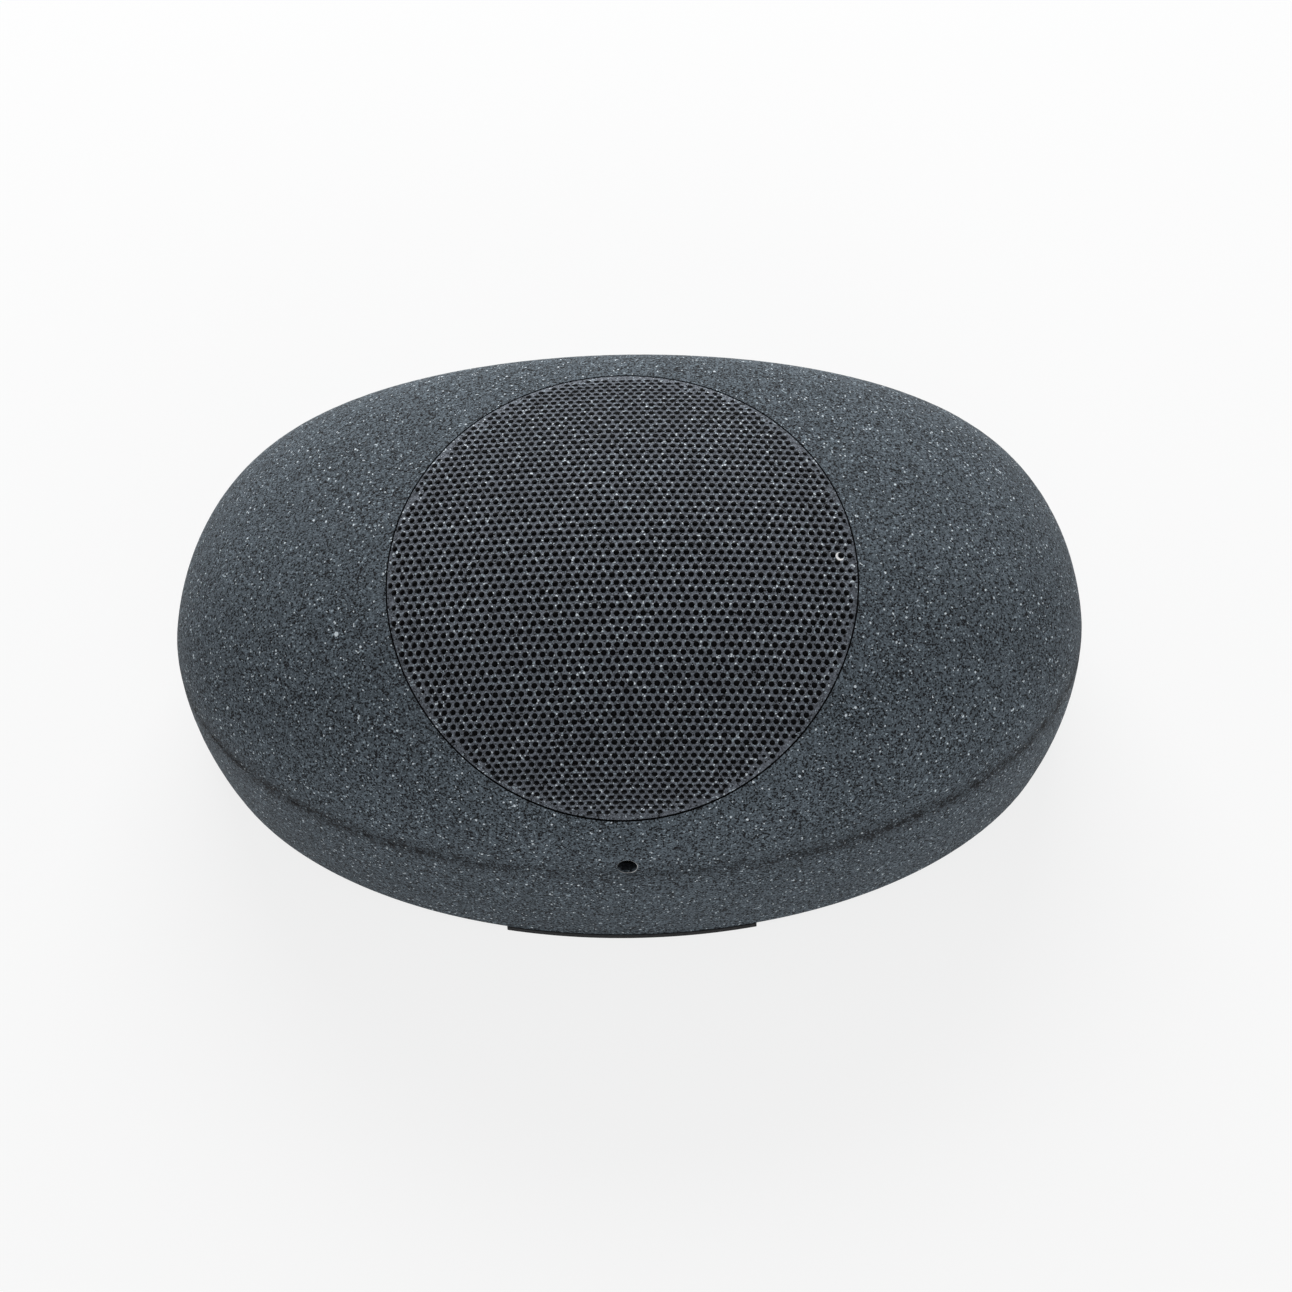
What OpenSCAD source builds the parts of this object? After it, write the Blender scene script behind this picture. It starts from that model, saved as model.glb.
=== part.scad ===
// Garden speaker: a low moulded pebble with a flush round grille, a full-range driver under the grille
// and a line transformer on the base. Millimetres. It stands on the plane z = 0, its nose points
// to -Y, its long axis runs along X, and the origin is under the middle of the whole object.

/* [Pebble] */
// Width of the pebble, left to right
body_w = 330; // [310:1:360]
// From the widest station forward to the nose
nose_reach = 106; // [102:1:125]
// From the widest station back to the flat rear wall
rear_reach = 77; // [74:1:95]
// How far the round edge of the rear wall reaches in from each side
rear_edge = 46; // [38:1:54]
// From the seam up to the crown
crown_h = 85; // [83:1:100]
// From the seam down to the underside of the base
base_h = 47; // [45:1:60]
// How far the foot of the skirt stands in from the widest line
skirt_inset = 7.3; // [5:0.1:10]
// Thickness of the moulded wall
wall = 4; // [3:0.1:5]
// Thickness of the base
base_t = 4; // [3:0.1:6]
// Diameter of the weep hole in the nose
weep_d = 7; // [5:0.5:8]
// Height of the weep hole's centre above the seam
weep_h = 5.5; // [5:0.1:9]

/* [Seam] */
// Height of the dark joint line between the two shells
seam_gap = 1; // [0.6:0.1:1.6]
// Height of the locating lip above the joint line
lip_h = 6; // [4:0.5:8]
// Thickness of the locating lip
lip_t = 2; // [1.5:0.1:2.5]
// Clearance between the lip and the upper shell
lip_clearance = 0.4; // [0.2:0.1:0.8]
// How far the seal stays back from the outside
seal_recess = 1.2; // [0.6:0.1:1.8]

/* [Grille] */
// Diameter of the pressed grille
grille_d = 163.2; // [156:0.2:166]
// Thickness of the grille sheet
grille_t = 1.2; // [1:0.1:1.6]
// How far the grille's centre sits in front of the crown
grille_forward = 34.2; // [30:0.2:38]
// Angle of the grille's axis above the ground
grille_tilt = 66.8; // [63:0.2:70]
// Spacing of the holes along a row
hole_pitch = 9; // [8.5:0.5:16]
// Diameter of a hole
hole_d = 6; // [4:0.5:6]
// Plain sheet left outside the outermost holes
grille_margin = 2.4; // [2:0.2:6]
// Width of the joint line round the grille
grille_gap = 0.8; // [0.6:0.1:1.8]
// Width of the ledge under the grille's rim
ledge_w = 5; // [4:0.5:7]
// Thickness of the well's wall and of the ledge
well_t = 3; // [2.5:0.1:4]
// Thickness of the cloth behind the grille
cloth_t = 0.8; // [0.5:0.1:1.2]

/* [Driver] */
// Outer diameter of the basket's flange
driver_d = 133; // [130:1:138]
// Width of the flange that rests on the baffle
flange_seat = 8.5; // [7:0.5:10]
// From the flange's edge in to the middle of its screws
screw_inset = 4; // [3.5:0.1:5]
// Depth of the driver's seat below the middle of the grille
seat_depth = 43; // [42:0.5:46]
// Thickness of the baffle
baffle_t = 5; // [4:0.5:7]
// Thickness of the foam ring under the flange
foam_t = 2; // [1:0.1:3]
// Thickness of the flange's metal
flange_t = 2; // [1.5:0.1:2.5]
// From the flange down to the magnet's front plate
basket_depth = 32; // [30:1:34]
// Width of the surround's roll
roll_w = 8; // [6:0.5:10]
// Clearance between the basket and the opening in the baffle
basket_gap = 0.5; // [0.3:0.1:1]
// Diameter of the spider
spider_d = 72; // [66:1:74]
// Diameter of the magnet ring
magnet_d = 86; // [78:1:90]
// Thickness of the magnet ring
magnet_t = 15; // [12:1:17]
// Thickness of the steel plates on both sides of the magnet
plate_t = 5; // [4:0.5:6]
// Inner diameter of the voice coil's former
coil_d = 25.4; // [24:0.2:28]
// Air on each side of the voice coil in the magnet's gap
coil_air = 0.4; // [0.3:0.05:0.6]

/* [Fixings] */
// Diameter of the shell screws
screw_d = 4; // [3.5:0.1:5]
// Diameter of the screw posts
post_d = 13; // [12:0.5:15]
// Depth of solid material that the shell screws clamp
clamp_h = 10; // [6:0.5:14]
// Length of the shell screws under the head
screw_l = 22; // [20:1:26]
// From the widest point of the pebble in to the two screw posts at the ends
end_post_inset = 27; // [25:1:33]
// Sideways place of the four screw posts near the corners
corner_post_x = 88; // [86:1:92]
// Forward place of the front screw posts
front_post_y = 64; // [60:1:66]
// Backward place of the rear screw posts
rear_post_y = 54; // [48:1:56]

/* [Cable entry] */
// Diameter of the gland's thread
gland_d = 16; // [12:1:20]
// Bore of the gland's rubber bush
cable_bore = 7; // [5:0.5:8]
// Depth of the gland's centre below the seam
gland_drop = 24; // [22:0.5:26]

/* [Feet] */
// Length of the two rubber feet
foot_l = 90; // [70:1:110]
// Width of the two rubber feet
foot_w = 12; // [8:1:16]
// Height of the rubber feet below the base
foot_t = 2; // [1.5:0.1:3]
// How far the front foot stands out past the edge of the base
foot_proud = 0.4; // [0:0.1:0.8]

/* [Transformer] */
// Width of the transformer's core
core_w = 44; // [38:1:50]
// Height of the transformer's core
core_h = 37; // [32:1:40]
// Stack of the transformer's core, front to back
core_t = 18; // [14:1:22]
// From the widest point of the pebble in to the middle of the transformer
transformer_inset = 77; // [71:1:81]

/* [Hidden] */
$fn = 96;
far = 400;

half_w = body_w / 2;
base_z = -base_h;
floor_z = base_z + base_t;
// The skirt is the top of a tall ellipse that the base cuts off
foot_share = 1 - skirt_inset / half_w;
skirt_semi = base_h / sqrt(1 - pow(foot_share, 2));

// Half of the plan outline at the seam: the nose towards -y, a flat rear with a round edge towards +y
module plan_half(inset) {
    w = half_w - inset;
    intersection() {
        scale([w, nose_reach - inset]) circle(r = 1);
        translate([0, -nose_reach]) square([w, nose_reach]);
    }
    square([w - rear_edge, rear_reach - inset]);
    translate([w - rear_edge, 0]) intersection() {
        scale([rear_edge, rear_reach - inset]) circle(r = 1);
        square([rear_edge, rear_reach]);
    }
}

// The outline turned about the front-to-back axis and pressed to a height
module pressed(inset, h) {
    scale([1, 1, (h - inset) / (half_w - inset)])
        rotate([-90, 0, 0]) rotate_extrude() plan_half(inset);
}

// A level slice of everything between two heights
module level(z0, z1) {
    translate([-far / 2, -far / 2, z0]) cube([far, far, z1 - z0]);
}

// The crown above the seam and the skirt below it, moved inwards by an inset
module crown(inset, z0 = 0, z1 = far) {
    intersection() {
        pressed(inset, crown_h);
        level(z0, z1);
    }
}
module skirt(inset, z0 = base_z, z1 = 0) {
    intersection() {
        pressed(inset, skirt_semi);
        level(z0, z1);
    }
}

// From the grille's middle outwards, and from the driver's seat outwards
grille_z = crown_h * sqrt(1 - pow(grille_forward / nose_reach, 2));
module on_grille() {
    translate([0, -grille_forward, grille_z]) rotate([90 - grille_tilt, 0, 0]) children();
}
module on_seat() {
    on_grille() translate([0, 0, -seat_depth]) children();
}

// Grille opening: a recess with a ledge for the rim, and a well down to the driver's seat
opening_r = grille_d / 2 + grille_gap;
well_r = opening_r - ledge_w;
ledge_drop = grille_t + cloth_t;
dome_top = 1.25 * seat_depth;

// Lip on the lower shell: it stands clear of the crown's inside, which leans in above the seam
rim_h = 6;
lip_top = seam_gap + lip_h;
lip_lean = (half_w - wall) * (1 - sqrt(1 - pow(lip_top / (crown_h - wall), 2)));
lip_out = wall + lip_clearance + lip_lean;
lip_in = lip_out + lip_t;
rim_in = lip_in + 1;

// Driver sizes that follow from its flange
cutout_d = driver_d - 2 * flange_seat;
driver_screw_circle = driver_d - 2 * screw_inset;
transformer_x = half_w - transformer_inset;
end_post_x = half_w - end_post_inset;

// Places that repeat
post_spots = [
    [end_post_x, 0], [-end_post_x, 0],
    [corner_post_x, -front_post_y], [-corner_post_x, -front_post_y],
    [corner_post_x, rear_post_y], [-corner_post_x, rear_post_y]
];
module at_posts() {
    for (spot = post_spots) translate([spot[0], spot[1], 0]) children();
}
driver_screw_d = 4;
module at_driver_screws() {
    for (turn = [45:90:315]) rotate([0, 0, turn]) translate([driver_screw_circle / 2, 0, 0]) children();
}
module at_gland() {
    translate([0, rear_reach, -gland_drop]) rotate([-90, 0, 0]) children();
}

// Everything is drawn about the seam and the widest station, then set on its feet
washer_t = 1.5;
gland_flange = 5;
collar_l = 9;
cap_clear = 1;
cap_over = 4;
gland_reach = washer_t + gland_flange + cap_clear + collar_l + cap_over;
middle_y = (rear_reach + gland_reach - nose_reach) / 2;
module placed() {
    translate([0, -middle_y, base_h + foot_t]) children();
}

// Body
screw_hole = screw_d + 0.5;
pilot_d = screw_d + 0.1;
pilot_h = screw_l - clamp_h + 3;
boss_d = 9;
boss_h = 8;
module upper_shell() color("#3f464e") placed() difference() {
    crown(0, seam_gap);
    difference() {
        crown(wall);
        on_seat() translate([0, 0, -baffle_t]) cylinder(r = well_r + well_t, h = far / 4);
        on_seat() at_driver_screws() translate([0, 0, -baffle_t - boss_h]) cylinder(d = boss_d, h = boss_h + 1);
        at_posts() cylinder(d = post_d, h = far / 4);
    }
    on_seat() cylinder(r = well_r, h = far / 4);
    difference() {
        on_seat() cylinder(r = opening_r, h = far / 4);
        crown(ledge_drop);
    }
    on_seat() translate([0, 0, -baffle_t - 1]) cylinder(d = cutout_d, h = baffle_t + 2);
    on_seat() at_driver_screws() translate([0, 0, -baffle_t - boss_h + 2])
        cylinder(d = driver_screw_d + 0.1, h = far / 8);
    at_posts() translate([0, 0, -1]) cylinder(d = pilot_d, h = pilot_h + 1);
    weep_hole();
}
module weep_hole() {
    translate([0, -nose_reach - 1, weep_h]) rotate([-90, 0, 0]) cylinder(d = weep_d, h = wall + 3);
}

head_room = 2 * screw_d + 1.5;
module lower_shell() color("#3f464e") placed() difference() {
    union() {
        difference() {
            skirt(0);
            difference() {
                skirt(wall, floor_z, -rim_h);
                lower_posts();
            }
            difference() {
                skirt(rim_in, -rim_h, 1);
                lower_posts();
            }
        }
        translate([0, 0, -rim_h / 2]) linear_extrude(height = rim_h / 2 + lip_top) difference() {
            plan(lip_out);
            plan(lip_in);
        }
    }
    at_posts() translate([0, 0, base_z - 1]) cylinder(d = head_room, h = base_h - clamp_h + 1);
    at_posts() translate([0, 0, -clamp_h - 1]) cylinder(d = screw_hole, h = clamp_h + 2);
    at_gland() translate([0, 0, -wall - 1]) cylinder(d = gland_d + 0.4, h = wall + 2);
    at_floor_screws() translate([0, 0, base_t / 4]) cylinder(d = floor_screw_d + 0.1, h = far / 8);
    translate([-weep_d / 2 - 1, -nose_reach, seam_gap]) cube([weep_d + 2, rim_in + 4, lip_h + 1]);
}
module lower_posts() {
    at_posts() translate([0, 0, floor_z - 1]) cylinder(d = post_d, h = base_h);
    at_floor_screws() cylinder(d = boss_d, h = base_t + floor_boss_h);
}

module seam_seal() color("#15171a") placed() linear_extrude(height = seam_gap) difference() {
    plan(seal_recess);
    plan(wall);
}
module plan(inset) {
    plan_half(inset);
    mirror([1, 0]) plan_half(inset);
}

head_h = 3;
module shell_screws() color("#a8abad") placed() at_posts() translate([0, 0, -clamp_h]) {
    translate([0, 0, -head_h]) difference() {
        cylinder(d = 2 * screw_d, h = head_h);
        cross_recess(screw_d);
    }
    cylinder(d = screw_d, h = screw_l);
}
module cross_recess(size) {
    for (turn = [0, 90]) rotate([0, 0, turn])
        translate([-size / 2, -size / 8, -0.1]) cube([size, size / 4, 1.6]);
}

// Grille. Each hole stands for a patch of the real sheet's 2 mm holes on a 3 mm pitch, with the same
// share of open sheet
rows = ceil(grille_d / hole_pitch);
row_rise = hole_pitch * sqrt(3) / 2;
module grille() color("#4a5159") placed() intersection() {
    difference() {
        crown(0);
        crown(grille_t);
    }
    on_seat() translate([0, 0, 0.5]) linear_extrude(height = dome_top) difference() {
        circle(d = grille_d);
        for (j = [-rows:rows], i = [-rows:rows]) {
            spot = [(i + (j % 2 == 0 ? 0 : 0.5)) * hole_pitch, j * row_rise];
            if (norm(spot) + hole_d / 2 < grille_d / 2 - grille_margin)
                translate(spot) circle(d = hole_d, $fn = 24);
        }
    }
}
module grille_layer(top, bottom, r) {
    intersection() {
        difference() {
            crown(top);
            crown(bottom);
        }
        on_seat() translate([0, 0, 0.5]) cylinder(r = r, h = dome_top);
    }
}
// The cloth covers the ledge out to the edge of the recess, so it shows black in the joint line
module grille_cloth() color("#0e0f11") placed() grille_layer(grille_t, ledge_drop, opening_r);

// Driver, drawn on its seat
frame_t = 1.5;
frame_r = cutout_d / 2 - basket_gap - frame_t;
cone_r = frame_r - roll_w;
flange_z = foam_t + flange_t;
back_z = foam_t - basket_depth;
spider_r = spider_d / 2;
neck_rise = 13;
spider_z = back_z + 9;
neck_z = back_z + neck_rise;
wall_top = -baffle_t - 1;
shelf_w = 3;
foot_r = spider_r + shelf_w;
skin = 0.6;
lip_w = 2.4;
former_t = 0.3;
winding_t = 0.5;
coil_r = coil_d / 2;
former_r = coil_r + former_t;
gap_r = former_r + winding_t + coil_air;
driver_head_d = 7;
flange_hole = driver_screw_d + 0.6;
ear_w = 16;
ear_reach = 10;

module driver_foam() color("#1c1d1f") placed() on_seat() difference() {
    cylinder(d = driver_d - 2, h = foam_t);
    translate([0, 0, -1]) cylinder(d = cutout_d, h = foam_t + 2);
    translate([0, 0, -1]) at_driver_screws() cylinder(d = flange_hole, h = foam_t + 2);
}
// Pressed bowl: flange, sloping wall with windows, shelf for the spider, and a floor on the magnet
module driver_basket() color("#2a2c2f") placed() on_seat() difference() {
    union() {
        rotate_extrude() polygon([
            [frame_r, flange_z], [driver_d / 2, flange_z], [driver_d / 2, foam_t],
            [frame_r + frame_t, foam_t], [frame_r + frame_t, wall_top], [foot_r, spider_z - 2 * frame_t],
            [foot_r, back_z], [gap_r + 4, back_z], [gap_r + 4, back_z + frame_t],
            [foot_r - frame_t, back_z + frame_t], [foot_r - frame_t, spider_z - frame_t],
            [spider_r - shelf_w, spider_z - frame_t], [spider_r - shelf_w, spider_z],
            [foot_r, spider_z], [frame_r, wall_top + 1]
        ]);
        rotate([0, 0, 180]) translate([spider_r, -ear_w / 2, back_z])
            cube([shelf_w + ear_reach, ear_w, frame_t]);
    }
    for (turn = [10:60:310]) rotate([0, 0, turn]) rotate_extrude(angle = 40)
        translate([foot_r + 1, spider_z + shelf_w]) square([frame_r, wall_top - spider_z - shelf_w]);
    at_driver_screws() translate([0, 0, foam_t - 1]) cylinder(d = flange_hole, h = flange_t + 2);
}
module driver_screws() color("#1a1a1c") placed() on_seat() at_driver_screws() {
    translate([0, 0, -baffle_t - boss_h + 3])
        cylinder(d = driver_screw_d, h = flange_z + baffle_t + boss_h - 3);
    translate([0, 0, flange_z]) difference() {
        cylinder(d = driver_head_d, h = 2.4);
        translate([0, 0, 2.4]) mirror([0, 0, 1]) cross_recess(driver_screw_d);
    }
}
// The roll has a flat lip inside and outside, the inner one glued on the cone's edge
module surround() color("#131416") placed() on_seat() rotate_extrude() {
    translate([cone_r - lip_w, flange_z]) square([lip_w + skin / 2, skin]);
    translate([frame_r - skin / 2, flange_z]) square([lip_w + skin / 2, skin]);
    intersection() {
        translate([cone_r + roll_w / 2, flange_z]) difference() {
            circle(d = roll_w);
            circle(d = roll_w - 2 * skin);
        }
        translate([cone_r, flange_z]) square(roll_w);
    }
}
// The cone's flank steepens towards the neck
flank_w = cone_r - lip_w - former_r;
flank_h = flange_z - skin - neck_z;
flank_steps = 8;
function flank(t) = [former_r + flank_w * t, neck_z + flank_h * pow(t, 0.8)];
module cone() color("#202226") placed() on_seat() rotate_extrude() polygon(concat(
    [for (k = [0:flank_steps]) flank(k / flank_steps)],
    [[cone_r, flange_z - skin], [cone_r, flange_z]],
    [for (k = [flank_steps:-1:0]) flank(k / flank_steps) + [0, skin]]
));
cap_r = coil_r + 5;
cap_rise = 7;
cap_ball = (cap_r * cap_r + cap_rise * cap_rise) / (2 * cap_rise);
cap_z = flank((cap_r - former_r) / flank_w)[1] + skin;
module dust_cap() color("#1a1b1e") placed() on_seat() translate([0, 0, cap_z]) rotate_extrude()
    intersection() {
        translate([0, cap_rise - cap_ball]) difference() {
            circle(r = cap_ball);
            circle(r = cap_ball - skin);
        }
        square([cap_r, cap_rise]);
    }
waves = 5;
wave_h = 1.8;
wave_w = spider_r - 1 - former_r;
function ripple(k) = [former_r + wave_w * k / (2 * waves), spider_z + (k % 2 == 0 ? 0 : wave_h)];
module spider() color("#b9873f") placed() on_seat() rotate_extrude() polygon(concat(
    [for (k = [0:2 * waves]) ripple(k)],
    [[spider_r + 1, spider_z], [spider_r + 1, spider_z + skin]],
    [for (k = [2 * waves:-1:0]) ripple(k) + [0, skin]]
));
// The winding hangs past both faces of the front plate, and the former ends above the cone's neck
coil_hang = 1.5;
coil_low = back_z - plate_t - coil_hang;
former_top = neck_z + 2 * skin;
module voice_coil() color("#a4592a") placed() on_seat() rotate_extrude() {
    translate([coil_r, coil_low]) square([former_t, former_top - coil_low]);
    translate([former_r, coil_low]) square([winding_t, plate_t + 2 * coil_hang]);
}
module front_plate() color("#8f9296") placed() on_seat() translate([0, 0, back_z - plate_t]) difference() {
    cylinder(r = foot_r, h = plate_t);
    translate([0, 0, -1]) cylinder(r = gap_r, h = plate_t + 2);
}
ring_z = back_z - plate_t - magnet_t;
module magnet_ring() color("#33353a") placed() on_seat() translate([0, 0, ring_z]) difference() {
    cylinder(d = magnet_d, h = magnet_t);
    translate([0, 0, -1]) cylinder(r = gap_r + 6, h = magnet_t + 2);
}
module back_plate() color("#8f9296") placed() on_seat() translate([0, 0, ring_z - plate_t]) difference() {
    union() {
        cylinder(r = foot_r, h = plate_t);
        cylinder(r = coil_r - coil_air, h = 2 * plate_t + magnet_t);
    }
    translate([0, 0, -1]) cylinder(d = 8, h = far / 4);
}
// Tags stand on a board on the basket's ear, outside the sloping wall
tag_h = 3;
tag_rise = 3;
tag_t = 2.4;
tag_x = foot_r + ear_reach - 1 - tag_t;
module tag_strip() color("#6b4a26") placed() on_seat()
    rotate([0, 0, 180]) translate([0, 0, back_z + frame_t]) {
        translate([foot_r + 0.6, 1 - ear_w / 2, 0]) cube([ear_reach - 1.6, ear_w - 2, tag_h]);
        for (side = [-1, 1]) translate([tag_x, side * lead_apart - 1.5, tag_h]) cube([tag_t, 3, tag_rise]);
    }

// Transformer and terminals on the base
floor_screw_d = 3;
floor_boss_h = 2;
strap_t = 1;
strap_w = 12;
strap_foot = 11;
strap_reach = core_w / 2 + strap_t + strap_foot / 2;
leg_w = core_w / 3;
window_w = core_w / 6;
yoke_h = core_w / 6;
core_z = floor_z + floor_boss_h;
terminal_l = 26;
terminal_apart = 8;
wire_z = 6;
lead_apart = 4;
module on_base(x, y = 0) {
    translate([x, y, core_z]) children();
}
module at_floor_screws() {
    for (side = [-1, 1])
        translate([-transformer_x + side * strap_reach, 0, floor_z - base_t]) children();
    translate([transformer_x, 0, floor_z - base_t]) children();
}
module transformer_core() color("#77797c") placed() on_base(-transformer_x) difference() {
    translate([-core_w / 2, -core_t / 2, 0]) cube([core_w, core_t, core_h]);
    for (side = [-1, 1]) translate([side * (leg_w + window_w) / 2 - window_w / 2, -far / 2, yoke_h])
        cube([window_w, far, core_h - 2 * yoke_h]);
}
winding_bulge = 8;
fit = 0.2;
module transformer_coil() color("#b06a2c") placed() on_base(-transformer_x) difference() {
    translate([0, 0, yoke_h + fit]) linear_extrude(height = core_h - 2 * yoke_h - 2 * fit) difference() {
        translate([-leg_w / 2 - window_w + fit, -core_t / 2 - winding_bulge])
            square([leg_w + 2 * window_w - 2 * fit, core_t + 2 * winding_bulge]);
        translate([-leg_w / 2 - fit, -core_t / 2 - fit]) square([leg_w + 2 * fit, core_t + 2 * fit]);
    }
}
module transformer_strap() color("#9a9da0") placed() on_base(-transformer_x) difference() {
    translate([0, strap_w / 2, 0]) rotate([90, 0, 0]) linear_extrude(height = strap_w) difference() {
        union() {
            translate([-core_w / 2 - strap_t, 0]) square([core_w + 2 * strap_t, core_h + strap_t]);
            translate([-strap_reach - strap_foot / 2, 0]) square([2 * strap_reach + strap_foot, strap_t]);
        }
        translate([-core_w / 2, -1]) square([core_w, core_h + 1]);
    }
    for (side = [-1, 1]) translate([side * strap_reach, 0, -1])
        cylinder(d = floor_screw_d + 0.4, h = strap_t + 2);
}
module floor_screw(grip) {
    translate([0, 0, grip]) difference() {
        cylinder(d = 2 * floor_screw_d, h = 2);
        translate([0, 0, 2]) mirror([0, 0, 1]) cross_recess(floor_screw_d);
    }
    translate([0, 0, -floor_boss_h - base_t / 2])
        cylinder(d = floor_screw_d, h = grip + floor_boss_h + base_t / 2);
}
module transformer_screws() color("#b4b6b8") placed() for (side = [-1, 1])
    on_base(-transformer_x + side * strap_reach) floor_screw(strap_t);
terminal_w = 18;
terminal_h = 14;
module terminal_block() color("#d8d4c8") placed() on_base(transformer_x) difference() {
    translate([-terminal_w / 2, -terminal_l / 2, 0]) cube([terminal_w, terminal_l, terminal_h]);
    translate([0, 0, -1]) cylinder(d = floor_screw_d + 0.4, h = far / 4);
    translate([0, 0, 3]) cylinder(d = 2 * floor_screw_d + 0.6, h = far / 4);
    for (side = [-1, 1]) translate([0, side * terminal_apart, wire_z]) {
        translate([-far / 2, 0, 0]) rotate([0, 90, 0]) cylinder(d = 4, h = far);
        cylinder(d = 5, h = far / 4);
    }
}
module terminal_screws() color("#c9a24a") placed() on_base(transformer_x) {
    floor_screw(3);
    for (side = [-1, 1]) translate([0, side * terminal_apart, wire_z + 2.4]) difference() {
        cylinder(d = 4.8, h = 4);
        translate([-3, -0.4, 3]) cube([6, 0.8, 2]);
    }
}

// Leads: a round tube swept along a list of points
lead_d = 2;
lead_sides = 8;
function unit(v) = v / norm(v);
function heading(route, k) = unit(route[min(k + 1, len(route) - 1)] - route[max(k - 1, 0)]);
function ring_at(route, k) = let (
        along = heading(route, k),
        across = unit(cross(along, abs(along[1]) < 0.8 ? [0, 1, 0] : [1, 0, 0])),
        third = cross(along, across)
    ) [for (s = [0:lead_sides - 1]) route[k]
        + lead_d / 2 * (cos(360 * s / lead_sides) * across + sin(360 * s / lead_sides) * third)];
module lead(route) {
    rings = len(route);
    polyhedron(
        points = [for (k = [0:rings - 1]) each ring_at(route, k)],
        faces = concat(
            [[for (s = [0:lead_sides - 1]) s]],
            [[for (s = [lead_sides - 1:-1:0]) (rings - 1) * lead_sides + s]],
            [for (k = [0:rings - 2], s = [0:lead_sides - 1]) [
                k * lead_sides + s, (k + 1) * lead_sides + s,
                (k + 1) * lead_sides + (s + 1) % lead_sides, k * lead_sides + (s + 1) % lead_sides
            ]]
        )
    );
}
// A soft bend from one face to another, straight for a moment at both ends
stub = 2;
bend_steps = 16;
function bezier(a, b, c, d, t) = let (u = 1 - t)
    u * u * u * a + 3 * u * u * t * b + 3 * u * t * t * c + t * t * t * d;
function bend(start, out, end, back, reach) = let (a = start + stub * out, d = end + stub * back) concat(
    [start],
    [for (k = [0:bend_steps]) bezier(a, a + reach * out, d + reach * back, d, k / bend_steps)],
    [end]
);
lean = 90 - grille_tilt;
function seat_point(p) = let (w = p[2] - seat_depth) [
    p[0],
    p[1] * cos(lean) - w * sin(lean) - grille_forward,
    p[1] * sin(lean) + w * cos(lean) + grille_z
];
tag_mid = [-tag_x - tag_t, 0, back_z + frame_t + tag_h + tag_rise / 2];
winding_y = core_t / 2 + winding_bulge / 2;
coil_top = core_z + core_h - yoke_h - fit;
module driver_leads() color("#7a1f1c") placed() for (side = [-1, 1]) lead(bend(
    seat_point(tag_mid + [0, side * lead_apart, 0]), [-1, 0, 0],
    [-transformer_x + side * lead_apart, -winding_y, coil_top], [0, 0, 1], 5 * lead_apart / 2
));
coil_side = -transformer_x + leg_w / 2 + window_w - fit;
module supply_leads() color("#1d2c4a") placed() for (side = [-1, 1]) lead(bend(
    [transformer_x - terminal_w / 2, side * terminal_apart, core_z + wire_z], [-1, 0, 0],
    [coil_side, winding_y, core_z + yoke_h + 2 * terminal_apart - side * lead_apart], [1, 0, 0],
    transformer_x / 3
));

// Cable entry in the rear wall: body outside, nut inside
gland_hex = gland_d + 6;
collar_d = gland_d - 1;
bush_d = collar_d - 4;
nut_t = 5;
module hexagon(across, h) {
    cylinder(d = across / cos(30), h = h, $fn = 6);
}
module gland_washer() color("#17181a") placed() at_gland() difference() {
    cylinder(d = gland_hex, h = washer_t);
    translate([0, 0, -1]) cylinder(d = gland_d + 0.2, h = washer_t + 2);
}
module gland_body() color("#1b1c1f") placed() at_gland() difference() {
    union() {
        translate([0, 0, washer_t]) hexagon(gland_hex, gland_flange);
        translate([0, 0, -wall - nut_t - 3]) cylinder(d = gland_d, h = wall + nut_t + 3 + washer_t + 1);
        translate([0, 0, washer_t + gland_flange - 1]) cylinder(d = collar_d, h = collar_l + 1);
    }
    translate([0, 0, -far / 2]) cylinder(d = bush_d, h = far);
}
module gland_bush() color("#0f1011") placed() at_gland()
translate([0, 0, washer_t + gland_flange]) difference() {
    cylinder(d = bush_d, h = collar_l);
    translate([0, 0, -1]) cylinder(d = cable_bore, h = collar_l + 2);
}
module gland_cap() color("#1b1c1f") placed() at_gland()
translate([0, 0, washer_t + gland_flange + cap_clear]) difference() {
    intersection() {
        hexagon(gland_hex, collar_l + cap_over);
        rotate_extrude() polygon([
            [0, 0], [gland_hex, 0], [gland_hex, collar_l - 3], [gland_hex / 2, collar_l - 1],
            [cable_bore / 2 + 2.5, collar_l + cap_over], [0, collar_l + cap_over]
        ]);
    }
    translate([0, 0, -1]) cylinder(d = collar_d + 0.2, h = collar_l + 1);
    translate([0, 0, -1]) cylinder(d = cable_bore + 1, h = far / 4);
}
module gland_nut() color("#1b1c1f") placed() at_gland() translate([0, 0, -wall - nut_t]) difference() {
    hexagon(gland_hex, nut_t);
    translate([0, 0, -1]) cylinder(d = gland_d + 0.1, h = nut_t + 2);
}

// Rubber feet under the front and the rear edge of the base
module front_foot() color("#101113") placed() translate([0, 0, base_z - foot_t]) linear_extrude(height = foot_t)
    intersection() {
        scale([half_w * foot_share + foot_proud, nose_reach * foot_share + foot_proud]) circle(r = 1);
        translate([-foot_l / 2, -nose_reach]) square([foot_l, nose_reach * (1 - foot_share) + foot_w]);
    }
module rear_foot() color("#101113") placed() translate([-foot_l / 2, rear_reach - foot_w, base_z - foot_t])
    cube([foot_l, foot_w, foot_t]);

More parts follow.
